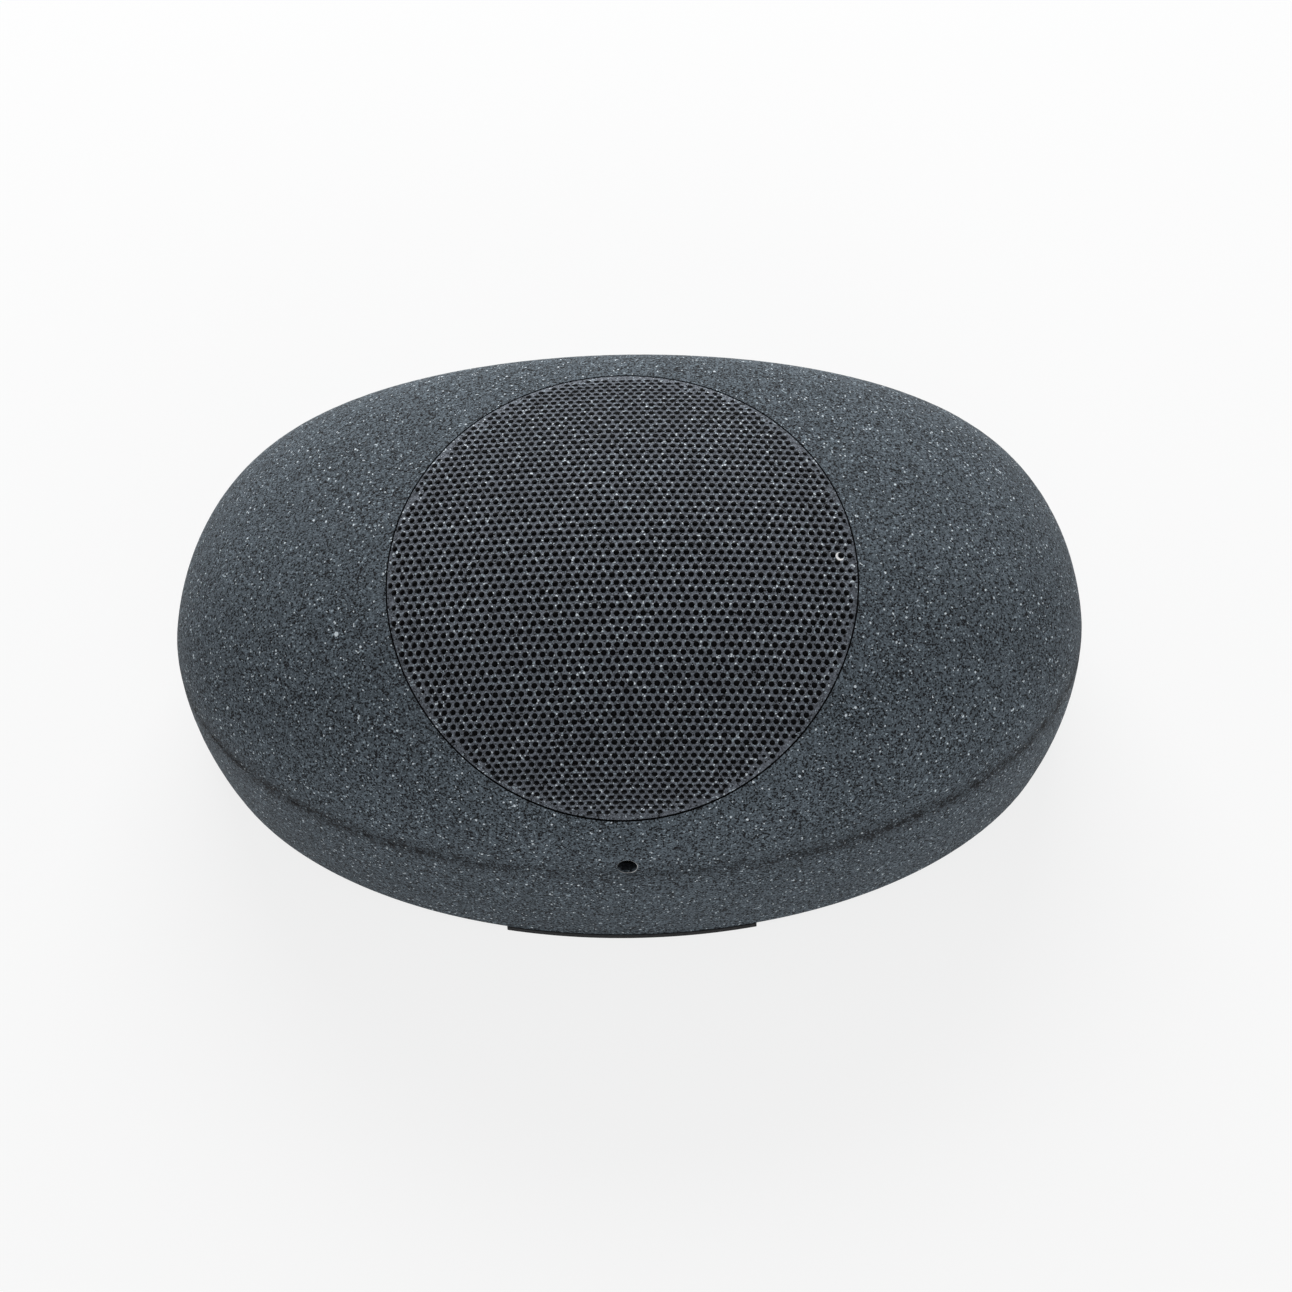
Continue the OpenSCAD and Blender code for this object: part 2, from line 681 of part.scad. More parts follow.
upper_shell();
lower_shell();
seam_seal();
grille();
grille_cloth();
driver_foam();
driver_basket();
driver_screws();
surround();
cone();
dust_cap();
spider();
voice_coil();
front_plate();
magnet_ring();
back_plate();
tag_strip();
transformer_core();
transformer_coil();
transformer_strap();
transformer_screws();
terminal_block();
terminal_screws();
driver_leads();
supply_leads();
shell_screws();
gland_body();
gland_washer();
gland_bush();
gland_cap();
gland_nut();
front_foot();
rear_foot();
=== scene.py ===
# %% [markdown]
# A garden speaker looks like a river pebble: two moulded shells in a granite-fleck coating, with a
# round perforated grille that follows the pebble's own curve. The solids are already built, so this
# lesson dresses them. It starts by loading them as a fixed frame.

# %% Load the solids
import bpy
import math
import numpy as np
from mathutils import Vector, Matrix
from mathutils.geometry import delaunay_2d_cdt


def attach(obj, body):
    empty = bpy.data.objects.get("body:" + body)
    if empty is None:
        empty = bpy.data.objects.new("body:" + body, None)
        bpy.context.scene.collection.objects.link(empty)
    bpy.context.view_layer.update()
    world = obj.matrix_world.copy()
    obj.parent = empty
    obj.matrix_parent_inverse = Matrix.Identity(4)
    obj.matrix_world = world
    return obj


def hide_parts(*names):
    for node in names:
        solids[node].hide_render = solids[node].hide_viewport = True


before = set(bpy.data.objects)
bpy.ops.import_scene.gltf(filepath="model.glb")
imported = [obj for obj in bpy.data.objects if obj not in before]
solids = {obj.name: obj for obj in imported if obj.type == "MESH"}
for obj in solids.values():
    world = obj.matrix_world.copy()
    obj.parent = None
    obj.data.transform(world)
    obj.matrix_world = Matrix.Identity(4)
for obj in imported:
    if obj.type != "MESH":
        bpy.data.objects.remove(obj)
bpy.context.view_layer.update()

# %% [markdown]
# The pebble has a simple rule. Seen from above it is a stretched circle: an ellipse towards the nose
# and, behind the widest line, a flat rear wall between two round corners. Turned about the
# front-to-back line and pressed to two heights, that outline gives the crown and the skirt. A rule
# like this can be asked for a height or a slope anywhere, so grille, seam and wear can all sit
# exactly on the shells. All lengths are in millimetres, counted from the middle of the widest line
# at the height of the seam.

# %% The pebble's own curve
MM = 0.001
HALF_WIDTH = 165.0
NOSE = 106.0               # from the widest line to the tip of the nose
REAR = 77.0                # from the widest line to the rear wall
REAR_CORNER = 46.0         # how wide each round rear corner is
CROWN = 85.0               # from the seam to the top
SEAM_LINE = Vector((0.0, 4.25, 49.0))      # where the solids put the point that all is counted from
CORNER_SHARE = REAR_CORNER / HALF_WIDTH

def outline_share(y):
    """Half width of the pebble at y, as a share of its greatest half width."""
    y = np.asarray(y, float)
    nose = np.sqrt(np.clip(1 - (y / NOSE) ** 2, 0, None))
    rear = 1 - CORNER_SHARE + CORNER_SHARE * np.sqrt(np.clip(1 - (y / REAR) ** 2, 0, None))
    return np.where(y < 0, nose, rear)

def above_crown(p):
    """Above 0 outside the crown, below 0 inside it. p is an array of points."""
    return (p[..., 0] / HALF_WIDTH) ** 2 + (p[..., 2] / CROWN) ** 2 - outline_share(p[..., 1]) ** 2

def crown_normal(p):
    """Outward direction of the crown at points on it."""
    y = p[..., 1]
    root = np.sqrt(np.clip(1 - (y / REAR) ** 2, 1e-6, None))
    rear_slope = 2 * outline_share(y) * CORNER_SHARE * y / (REAR ** 2 * root)
    slope = np.where(y < 0, 2 * y / NOSE ** 2, rear_slope)
    n = np.stack([2 * p[..., 0] / HALF_WIDTH ** 2, slope, 2 * p[..., 2] / CROWN ** 2], -1)
    return n / np.linalg.norm(n, axis=-1, keepdims=True)

print("half width 50 mm ahead of the widest line:", round(float(outline_share(-50)) * HALF_WIDTH, 1), "mm")

# %% [markdown]
# Every mesh below is worked out in those millimetres about the seam, where the numbers are easy to
# check on a real speaker. One helper turns such points into an object in metres in the right place,
# and lets it ride on the body of the solids.

# %% A helper that makes a piece
def make_piece(name, points, faces):
    mesh = bpy.data.meshes.new(name)
    placed = (np.asarray(points, float) + np.array(SEAM_LINE)) * MM
    mesh.from_pydata(placed.tolist(), [], [tuple(int(i) for i in face) for face in faces])
    mesh.update()
    mesh.polygons.foreach_set("use_smooth", [True] * len(mesh.polygons))
    piece = bpy.data.objects.new(name, mesh)
    bpy.context.scene.collection.objects.link(piece)
    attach(piece, "root")
    triangles = sum(len(face.vertices) - 2 for face in mesh.polygons)
    print(name, len(mesh.vertices), "points,", triangles, "triangles")
    return piece

print("the seam's middle is at", [round(c * MM, 4) for c in SEAM_LINE], "m")

# %% [markdown]
# The grille is a disc of perforated steel, pressed to the pebble's curve. Its holes are 2 mm across
# and stand 3 mm apart in staggered rows. On the real object they are punched in the flat sheet, and
# pressing then bends the rows downhill, so from the front they crowd together towards the nose and
# the back. Pressing also draws the middle of the sheet longer than its ends. The same is done here:
# holes are laid out flat, and the flat sheet is measured along the curve. First comes that
# measuring, as two tables of length along the dome. A point of the dome is found by halving: it
# lies somewhere on a line along the grille's axis, and each step keeps the half that crosses the
# crown.

# %% Measure the dome
GRILLE_FORWARD = 34.2                      # the grille's middle is this far ahead of the widest line
GRILLE_TILT = math.radians(66.8)           # its axis rises this steeply from level
GRILLE_RADIUS = 81.6
LOWEST, HIGHEST = -60.0, 8.0               # the dome lies between these two, counted along the axis
HALVINGS = 40
TABLE_STEPS, TABLE_MARGIN = 800, 2
dome_middle = np.array([0, -GRILLE_FORWARD, CROWN * math.sqrt(1 - (GRILLE_FORWARD / NOSE) ** 2)])
outward = np.array([0, -math.cos(GRILLE_TILT), math.sin(GRILLE_TILT)])
sideways = np.array([1.0, 0, 0])
uphill = np.cross(outward, sideways)

def on_dome(across, up):
    """Points of the dome that are seen at (across, up) when looking along the grille's axis."""
    flat = dome_middle + np.multiply.outer(across, sideways) + np.multiply.outer(up, uphill)
    low, high = np.full(flat.shape[:-1], LOWEST), np.full(flat.shape[:-1], HIGHEST)
    for _ in range(HALVINGS):
        half = (low + high) / 2
        outside = above_crown(flat + half[..., None] * outward) > 0
        high, low = np.where(outside, half, high), np.where(outside, low, half)
    return flat + ((low + high) / 2)[..., None] * outward

stations = np.linspace(-GRILLE_RADIUS - TABLE_MARGIN, GRILLE_RADIUS + TABLE_MARGIN, TABLE_STEPS)

def length_along(line):
    steps = np.linalg.norm(np.diff(line, axis=0), axis=1)
    travelled = np.concatenate([[0], np.cumsum(steps)])
    return travelled - np.interp(0, stations, travelled)

up_length = length_along(on_dome(np.zeros_like(stations), stations))
across_length = length_along(on_dome(stations, np.zeros_like(stations)))
front_to_back = float(up_length[-1] - up_length[0]) - 2 * TABLE_MARGIN
print("over the dome the sheet is", round(front_to_back, 1), "mm from front to back")

# %% [markdown]
# Now a pair of helpers goes between the flat sheet and the view along the grille's axis. In the
# middle the rows stand 7 percent further apart than in the flat sheet, and near the front and the
# back they stand closer together. Sideways the sheet is drawn by 1 percent everywhere. The numbers
# make the rows fall where the photograph shows them.

# %% Between flat sheet and dome
DRAWN_MIDDLE, DRAWN_LESS = 1.074, 1.48e-5  # stretch in the middle, and its loss with the distance cubed
DRAWN_ACROSS = 1.01
FLAT_REACH = 110
flat_up = np.linspace(-FLAT_REACH, FLAT_REACH, TABLE_STEPS)
drawn_up = DRAWN_MIDDLE * flat_up - DRAWN_LESS * flat_up ** 3

def to_flat(across, up):
    drawn = np.interp(up, stations, up_length)
    return np.stack([np.interp(across, stations, across_length) / DRAWN_ACROSS,
                     np.interp(drawn, drawn_up, flat_up)], -1)

def from_flat(flat):
    drawn = np.interp(flat[..., 1], flat_up, drawn_up)
    return (np.interp(flat[..., 0] * DRAWN_ACROSS, across_length, stations),
            np.interp(drawn, up_length, stations))

check = from_flat(to_flat(np.array(40.0), np.array(-60.0)))
print("there and back again:", [round(float(c), 2) for c in check])

# %% [markdown]
# The holes lie on a triangular grid that covers more than the disc, and only those whose middle is
# on it are kept. Ten sides are enough for a hole of 2 mm. Their corners lie a little more than 1 mm
# out, so that the ten-sided hole is as open as a round one.

# %% Lay out the holes
PITCH = 3.0
HOLE_CORNERS, HOLE_REACH = 10, 1.04
LAST_HOLE = GRILLE_RADIUS - 0.75           # hole middles reach this far out
GRID_ROWS, GRID_STEPS = 45, 34             # to either side of the middle
row_rise = PITCH * math.sqrt(3) / 2
hole_middles = []
for row in range(-GRID_ROWS, GRID_ROWS + 1):
    stagger = 0.5 if row % 2 else 0.0
    for step in range(-GRID_STEPS, GRID_STEPS + 1):
        middle = np.array([(step + stagger) * PITCH, row * row_rise])
        if math.hypot(*from_flat(middle)) < LAST_HOLE:
            hole_middles.append(middle)
hole_middles = np.array(hole_middles)
print(len(hole_middles), "holes")

# %% [markdown]
# A mesh with thousands of holes is easiest to get from a constrained triangulation: give it the rim
# and a small polygon for each hole, let it fill the plane, then drop the triangles whose corners all
# belong to one hole. Cutting the holes with booleans would take minutes and leave ragged shading.
# The triangulation also says which given point each new point came from, and that tells which hole
# owns it. The last holes are cut short by a narrow plain rim, as on the real sheet, and the coating
# makes the disc a little wider than the bare steel.

# %% Fill the sheet between the holes
HOLES_END = GRILLE_RADIUS - 0.25           # no hole is open further out than this
COATED_RADIUS = GRILLE_RADIUS + 0.2
RIM_STEPS = 360
SAME_POINT = 1e-5
rim_turn = np.linspace(0, 2 * math.pi, RIM_STEPS, endpoint=False)
rim = to_flat(COATED_RADIUS * np.cos(rim_turn), COATED_RADIUS * np.sin(rim_turn))
hole_turn = np.linspace(0, 2 * math.pi, HOLE_CORNERS, endpoint=False)
hole_ring = np.stack([np.cos(hole_turn), np.sin(hole_turn)], -1) * HOLE_REACH
across, up = from_flat((hole_middles[:, None, :] + hole_ring[None]).reshape(-1, 2))
cut_short = np.minimum(1, HOLES_END / np.hypot(across, up))
flat_points = np.concatenate([rim, to_flat(across * cut_short, up * cut_short)])
edges = [(i, (i + 1) % RIM_STEPS) for i in range(RIM_STEPS)]
for first in range(RIM_STEPS, len(flat_points), HOLE_CORNERS):
    edges += [(first + s, first + (s + 1) % HOLE_CORNERS) for s in range(HOLE_CORNERS)]
filled = delaunay_2d_cdt([Vector(p) for p in flat_points], edges, [], 0, SAME_POINT)
new_points, _, new_faces, sources = filled[:4]
sheet_points = np.array([tuple(p) for p in new_points])
came_from = [min(given) if given else -1 for given in sources]
owner = np.array([(i - RIM_STEPS) // HOLE_CORNERS if i >= RIM_STEPS else -1 for i in came_from])
sheet_faces = [f for f in new_faces
               if not (owner[f[0]] >= 0 and owner[f[0]] == owner[f[1]] == owner[f[2]])]
print(len(sheet_points), "points,", len(sheet_faces), "triangles on the face of the sheet")

# %% [markdown]
# Near the rim some holes are partly closed by the coating, as happens where a spray runs against an
# edge. Which ones, and by how much, is left to a seeded random generator, so every run gives the
# same grille. A second helper presses flat points onto the dome, at the surface or below it.

# %% Clog some holes and press the sheet
chance = np.random.default_rng(7)
CLOGGED_BAND, CLOGGED_SHARE = 3.2, 0.35    # only this near to the rim, and this share of them
reach = np.array([math.hypot(*from_flat(middle)) for middle in hole_middles])
is_struck = (GRILLE_RADIUS - reach < CLOGGED_BAND) & (chance.random(len(reach)) < CLOGGED_SHARE)
clogged = np.where(is_struck, chance.uniform(0.1, 0.4, len(reach)), 0.0)

def widened(share):
    """The sheet's points with every hole widened about its own middle, less where it is clogged."""
    grown = sheet_points.copy()
    at_hole = owner >= 0
    middles = hole_middles[owner[at_hole]]
    spread = share * (1 - clogged[owner[at_hole]])
    grown[at_hole] = middles + (sheet_points[at_hole] - middles) * spread[:, None]
    return grown

def press(flat, depth):
    top = on_dome(*from_flat(flat))
    return top - depth * crown_normal(top)

print(int(is_struck.sum()), "holes are partly clogged")

# %% [markdown]
# Three layers of the same points make the sheet solid: its face with the holes slightly widened, a
# layer just below with the holes at their true size, and the back. The narrow ring between the
# first two is the eased edge, because a thick granite coating never leaves a sharp one, and it
# catches a thin line of light. The walls of the holes come last in the list of faces, so that they
# can get a finish of their own: a near-black painted shade, so that each hole reads as a black dot.

# %% Give the sheet its thickness
SHEET, EASE, EASE_DEPTH = 1.2, 0.05, 0.07  # thickness, share by which holes widen, depth of that edge
layer = len(sheet_points)
back = 2 * layer
points = np.concatenate([press(widened(1 + EASE), 0.0), press(widened(1.0), EASE_DEPTH),
                         press(widened(1.0), SHEET)])
point_of = {given: k for k, given in enumerate(came_from) if given >= 0}
coated_faces = [tuple(f) for f in sheet_faces]
coated_faces += [(f[2] + back, f[1] + back, f[0] + back) for f in sheet_faces]
wall_faces = []
for a, b in edges:
    here, there = point_of[a], point_of[b]
    if a < RIM_STEPS:
        coated_faces.append((here + back, there + back, there, here))
    else:
        coated_faces.append((there, here, here + layer, there + layer))
        wall_faces.append((there + layer, here + layer, here + back, there + back))
perforated_sheet = make_piece("perforated_sheet", points, coated_faces + wall_faces)
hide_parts("grille")

# %% [markdown]
# The two shells meet in a joint 1 mm wide. On the real object the coating was sprayed over the closed
# joint, so it is not an open slot but a shallow valley, deeper where the coating broke and nearly
# level where it bridged the gap. A ring with a hollow outer face fills the joint. It follows the
# pebble's outline, which is drawn here in four parts: nose, corner, rear wall and corner.

# %% The outline of the joint
NOSE_STEPS, CORNER_STEPS, REAR_STEPS = 400, 120, 160
nose_turn = np.linspace(0, math.pi, NOSE_STEPS, endpoint=False)
corner_turn = np.linspace(0, math.pi / 2, CORNER_STEPS, endpoint=False)
wall_end = HALF_WIDTH - REAR_CORNER
wall_x = np.linspace(-wall_end, wall_end, REAR_STEPS, endpoint=False)
outline = np.concatenate([
    np.stack([HALF_WIDTH * np.cos(nose_turn), -NOSE * np.sin(nose_turn)], -1),
    np.stack([-wall_end - REAR_CORNER * np.cos(corner_turn), REAR * np.sin(corner_turn)], -1),
    np.stack([wall_x, np.full(REAR_STEPS, REAR)], -1),
    np.stack([wall_end + REAR_CORNER * np.sin(corner_turn), REAR * np.cos(corner_turn)], -1)])
run = np.roll(outline, -1, 0) - np.roll(outline, 1, 0)
outside = np.stack([run[:, 1], -run[:, 0]], -1)
outside /= np.linalg.norm(outside, axis=1, keepdims=True)
outside *= np.sign(np.sum(outside * outline, axis=1, keepdims=True))
print("the joint's outline has", len(outline), "points")

# %% [markdown]
# The valley's depth wanders: random numbers, one for each point of the outline, are smoothed over
# seven neighbours, and only what lies above a threshold digs in. The ring stands for the rubber
# seal of the solids, which it hides.

# %% The coated joint between the shells
JOINT_HEIGHT, JOINT_BACK = 1.0, 3.9        # the ring's height, and how far it reaches inwards
LEAST_DEPTH, DIG = 0.08, 0.7               # millimetres, and millimetres for each 1 above the threshold
THRESHOLD, MOST = 0.38, 0.4                # the random numbers go from 0 to 1
SMOOTHED_OVER = 7
UNDER_COATING = 0.04                       # the ring never stands out, not even at its edges
PROFILE = [(0.0, 0.04), (0.22, 0.7), (0.5, 1.0), (0.78, 0.7), (1.0, 0.04)]     # height, share of depth
three_rounds = np.tile(chance.random(len(outline)), 3)
smoothed = np.convolve(three_rounds, np.ones(SMOOTHED_OVER) / SMOOTHED_OVER, "same")
wander = smoothed[len(outline):2 * len(outline)]
valley = LEAST_DEPTH + DIG * np.clip(wander - THRESHOLD, 0, MOST)
print("the valley is", round(float(valley.min()), 2), "to", round(float(valley.max()), 2), "mm deep")
joint_points = []
for spot, side, depth in zip(outline, outside, valley):
    for height, share in PROFILE:
        joint_points.append((*(spot - side * max(UNDER_COATING, share * depth)), height * JOINT_HEIGHT))
    for height in (1.0, 0.0):
        joint_points.append((*(spot - side * JOINT_BACK), height * JOINT_HEIGHT))
columns = len(PROFILE) + 2
joint_faces = []
for k in range(len(outline)):
    here, there = k * columns, (k + 1) % len(outline) * columns
    joint_faces += [(here + c, here + (c + 1) % columns, there + (c + 1) % columns, there + c)
                    for c in range(columns)]
coated_joint = make_piece("coated_joint", joint_points, joint_faces)
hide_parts("seam_seal")

# %% [markdown]
# Two small signs of wear show in the photograph. The lower edge of the weep hole has lost its coating
# and shows as a thin pale line, and one hole at the right of the grille has a chip on its lower left
# side. Both are thin rings that follow an edge, wide where the coating is gone and a hair wide
# elsewhere, so one helper makes both. A separate piece is simpler to place than a mask in the
# coating.

# %% A helper for worn edges
HOVER = 0.02                               # the ring lies this far above the surface
INNER_DROP, OUTER_DROP = 0.25, 0.03        # its inner edge turns into the hole, its outer one dips
CREST_ACROSS, CREST_RISE = 0.4, 0.12       # shares of its width
PAST_QUARTER = 0.35                        # how far the wear goes on past a quarter turn

def worn_side(turn, middle_degrees):
    """1 in the middle of the worn side, easing to 0 at 110 degrees from it."""
    facing = np.cos(turn - math.radians(middle_degrees))
    return np.clip(facing + PAST_QUARTER, 0, None) / (1 + PAST_QUARTER)

def worn_ring(name, path, widths):
    """A thin ring that follows a closed path on the crown, as wide as widths say."""
    normals, widths = crown_normal(path), widths[:, None]
    run = np.roll(path, -1, 0) - np.roll(path, 1, 0)
    sideward = np.cross(run, normals)
    sideward /= np.linalg.norm(sideward, axis=1, keepdims=True)
    sideward *= np.sign(np.sum(sideward * (path - path.mean(0)), axis=1, keepdims=True))
    lifted = path + normals * HOVER
    outer = lifted + sideward * widths
    crest = lifted + sideward * widths * CREST_ACROSS + normals * widths * CREST_RISE
    ring_points = np.concatenate([lifted - normals * INNER_DROP, crest, outer - normals * OUTER_DROP])
    size = len(path)
    ring_faces = []
    for start in (0, size):
        for k in range(size):
            there = (k + 1) % size
            ring_faces.append((start + k, start + there, start + size + there, start + size + k))
    return make_piece(name, ring_points, ring_faces)

print("wear fades to", round(float(worn_side(math.radians(90), 0)), 2), "a quarter turn from its middle")

# %% [markdown]
# The weep hole's edge is a circle in the nose, so its points take their depth from the pebble's
# rule. Its bare patch lies below and to the right, and ripples a little. The chipped hole is the one
# nearest to its place in the photograph, and the chip follows that hole's own rim.

# %% Worn edges
WEEP_RADIUS, WEEP_HEIGHT = 3.5, 5.5
around = np.linspace(0, 2 * math.pi, 72, endpoint=False)
weep_x, weep_z = WEEP_RADIUS * np.cos(around), WEEP_HEIGHT + WEEP_RADIUS * np.sin(around)
weep_y = -NOSE * np.sqrt(1 - (weep_x / HALF_WIDTH) ** 2 - (weep_z / CROWN) ** 2)
ripple = 0.75 + 0.25 * np.sin(5 * around)
weep_wear = 0.05 + 0.38 * worn_side(around, -52) * ripple
weep_edge = worn_ring("weep_edge", np.stack([weep_x, weep_y, weep_z], -1), weep_wear)

CHIP_ACROSS, CHIP_UP = 77.6, 7.5           # as seen along the grille's axis
chip_place = to_flat(np.array(CHIP_ACROSS), np.array(CHIP_UP))
chipped_hole = hole_middles[np.argmin(np.linalg.norm(hole_middles - chip_place, axis=1))]
chip_turn = np.linspace(0, 2 * math.pi, 40, endpoint=False)
chip_ring = HOLE_REACH * 1.04 * np.stack([np.cos(chip_turn), np.sin(chip_turn)], -1)
chip_wear = 0.02 + 1.15 * worn_side(chip_turn, 215)
chipped_edge = worn_ring("chipped_edge", press(chipped_hole + chip_ring, 0.0), chip_wear)

# %% [markdown]
# Next come the finishes. Each is a small network of nodes, and the same few kinds of node come back
# all the time, so every kind gets a helper. One of them feeds a socket with either a plain number or
# another node's output, which lets the others take both.

# %% Helpers for finishes
NOISE_LOW, NOISE_HIGH = 0.3, 0.7           # nearly all of a noise's values lie between these

def new_finish(name):
    material = bpy.data.materials.new(name)
    material.use_nodes = True
    tree = material.node_tree
    tree.nodes.clear()
    shader = tree.nodes.new("ShaderNodeBsdfPrincipled")
    output = tree.nodes.new("ShaderNodeOutputMaterial")
    tree.links.new(shader.outputs["BSDF"], output.inputs["Surface"])
    return material, tree, shader

def feed(tree, socket, value):
    if isinstance(value, bpy.types.NodeSocket):
        tree.links.new(value, socket)
    elif isinstance(value, (list, tuple)) and len(value) == 3 and socket.type == "RGBA":
        socket.default_value = (*value, 1.0)
    else:
        socket.default_value = value

def mix_colour(tree, share, first, second):
    """This node has a set of sockets for each kind of data. Those used here are the colour ones."""
    mix = tree.nodes.new("ShaderNodeMix")
    mix.data_type = "RGBA"
    feed(tree, mix.inputs[0], share)
    feed(tree, mix.inputs[6], first)
    feed(tree, mix.inputs[7], second)
    return mix.outputs[2]

def reckon(tree, operation, *values):
    made = tree.nodes.new("ShaderNodeMath")
    made.operation = operation
    for socket, value in zip(made.inputs, values):
        feed(tree, socket, value)
    return made.outputs["Value"]

def ease_between(tree, value, low, high, to_low=0.0, to_high=1.0):
    made = tree.nodes.new("ShaderNodeMapRange")
    made.interpolation_type = "SMOOTHSTEP"
    feed(tree, made.inputs["Value"], value)
    for name, number in (("From Min", low), ("From Max", high), ("To Min", to_low), ("To Max", to_high)):
        made.inputs[name].default_value = number
    return made.outputs["Result"]

def noise_at(tree, place, size_mm, detail):
    made = tree.nodes.new("ShaderNodeTexNoise")
    made.inputs["Scale"].default_value = 1.0 / (size_mm * MM)
    made.inputs["Detail"].default_value = detail
    tree.links.new(place, made.inputs["Vector"])
    return made

def add_bump(tree, shader, height, strength, distance_mm):
    bump = tree.nodes.new("ShaderNodeBump")
    bump.inputs["Strength"].default_value = strength
    bump.inputs["Distance"].default_value = distance_mm * MM
    tree.links.new(height, bump.inputs["Height"])
    tree.links.new(bump.outputs["Normal"], shader.inputs["Normal"])

print("seven helpers for finishes")

# %% [markdown]
# The coating is a sprayed granite paint: a dark slate ground full of small chips, which are black,
# mid grey, pale or nearly white. A cell pattern in three dimensions needs no unwrapping and runs on
# across seams and edges. It gives one random value for each cell, and a stepped colour ramp turns
# that value into a kind of chip, so one pattern carries them all. The ramp's alpha says how well
# that kind covers the ground, and 0 leaves the ground bare. The distance from the middle of a cell
# trims it to a chip with ground around it.

# %% Chips as random cells
def add_chips(tree, ground, place, size_mm, kinds, chip_reach, softness):
    """kinds is a list of (start, colour, cover) steps along the random value."""
    cells = tree.nodes.new("ShaderNodeTexVoronoi")
    cells.voronoi_dimensions = "3D"
    cells.inputs["Scale"].default_value = 1.0 / (size_mm * MM)
    tree.links.new(place, cells.inputs["Vector"])
    split = tree.nodes.new("ShaderNodeSeparateColor")
    tree.links.new(cells.outputs["Color"], split.inputs["Color"])
    ramp = tree.nodes.new("ShaderNodeValToRGB")
    ramp.color_ramp.interpolation = "CONSTANT"
    while len(ramp.color_ramp.elements) < len(kinds):
        ramp.color_ramp.elements.new(0.5)
    for element, (start, colour, cover) in zip(ramp.color_ramp.elements, kinds):
        element.position = start
        element.color = (*colour, cover)
    tree.links.new(split.outputs["Red"], ramp.inputs["Fac"])
    from_middle = cells.outputs["Distance"]
    chip = ease_between(tree, from_middle, chip_reach - softness, chip_reach + softness, 1.0, 0.0)
    chipped = mix_colour(tree, reckon(tree, "MULTIPLY", chip, ramp.outputs["Alpha"]),
                         ground, ramp.outputs["Color"])
    return chipped, from_middle

SOOT_AND_SHADE = [0.004, 0.0045, 0.006]
PALE = [0.42, 0.50, 0.56]
WHITE = [0.80, 0.88, 0.94]
print("colours of the chips:", SOOT_AND_SHADE, PALE, WHITE, "and a grey that follows the ground")

# %% [markdown]
# Along the joint between the shells the coating is thinner, dirt gathers and shade falls, so the
# photograph shows a fuzzy dark line there and not a ruled one. The finish paints this dirt and shade
# into the colour, and knows the height of the joint. It blackens the ground colour patchily up to
# 4 mm away, as dirt and painted shade, so that chips still lie on it, and then draws a thin veil of
# painted shade and dirt over the chips as well, which fades out 8.5 mm away. Both are strongest
# towards the two sides of the speaker.

# %% Dirt and painted shade along the joint
STREAK_FULL, STREAK_ENDS = 0.8 * MM, 4.0 * MM              # how far off the joint's middle
# The haze is painted shade on both sides of the joint.
HAZE_FULL, HAZE_ENDS, HAZE = 1.0 * MM, 8.5 * MM, 0.38      # the last one is its strength
CHIPS_TOO = 0.68                                           # share of the streak that covers the chips
PATCH_SIZE = 5.0
CLEAN_NOSE = 0.45                                          # share of the dirt that is left at the nose
NOSE_ENDS, SIDE_STARTS = 30 * MM, 90 * MM                  # to either side of the middle
JOINT_MIDDLE = SEAM_LINE.z + JOINT_HEIGHT / 2

def dirt_and_shade_along_joint(tree, place, strength):
    """How far the bare ground turns black, and how far the chips on it do."""
    axes = tree.nodes.new("ShaderNodeSeparateXYZ")
    tree.links.new(place, axes.inputs["Vector"])
    off = reckon(tree, "ABSOLUTE", reckon(tree, "SUBTRACT", axes.outputs["Z"], JOINT_MIDDLE * MM))
    aside = reckon(tree, "ABSOLUTE", axes.outputs["X"])
    settled = ease_between(tree, aside, NOSE_ENDS, SIDE_STARTS, CLEAN_NOSE, 1.0)
    near = ease_between(tree, off, STREAK_FULL, STREAK_ENDS, strength, 0.0)
    patch = ease_between(tree, noise_at(tree, place, PATCH_SIZE, 5.0).outputs["Fac"], 0.38, 0.60, 0.18, 1.0)
    # The streak is dirt and painted shade in the joint.
    streak = reckon(tree, "MULTIPLY", reckon(tree, "MULTIPLY", near, patch), settled)
    # The haze is painted shade over a wider band.
    haze = ease_between(tree, off, HAZE_FULL, HAZE_ENDS, HAZE * strength, 0.0)
    veil = reckon(tree, "MAXIMUM", reckon(tree, "MULTIPLY", haze, settled),
                  reckon(tree, "MULTIPLY", streak, CHIPS_TOO))
    return streak, veil

print("the joint's middle is", JOINT_MIDDLE, "mm above the ground")

# %% [markdown]
# Two single spots are made by their distance from a point: a large bright chip on the left shoulder,
# and painted shade that blackens the inside of the weep hole.

# %% Single spots
BRIGHT_CHIP = Vector((-100.0, -41.9, 58.7))
# The middle of the painted shade inside the weep hole.
WEEP_HOLE_SHADE_MIDDLE = Vector((0.0, -NOSE + 4.6, WEEP_HEIGHT))

def spot_at(tree, place, middle, edge_mm, strength):
    """strength inside a ball about a point of the speaker, 0 outside. edge_mm says where it fades."""
    made = tree.nodes.new("ShaderNodeVectorMath")
    made.operation = "DISTANCE"
    tree.links.new(place, made.inputs[0])
    made.inputs[1].default_value = (middle + SEAM_LINE) * MM
    return ease_between(tree, made.outputs["Value"], edge_mm[0] * MM, edge_mm[1] * MM, strength, 0.0)

print("bright chip at", [round(c, 1) for c in BRIGHT_CHIP], "mm about the seam")
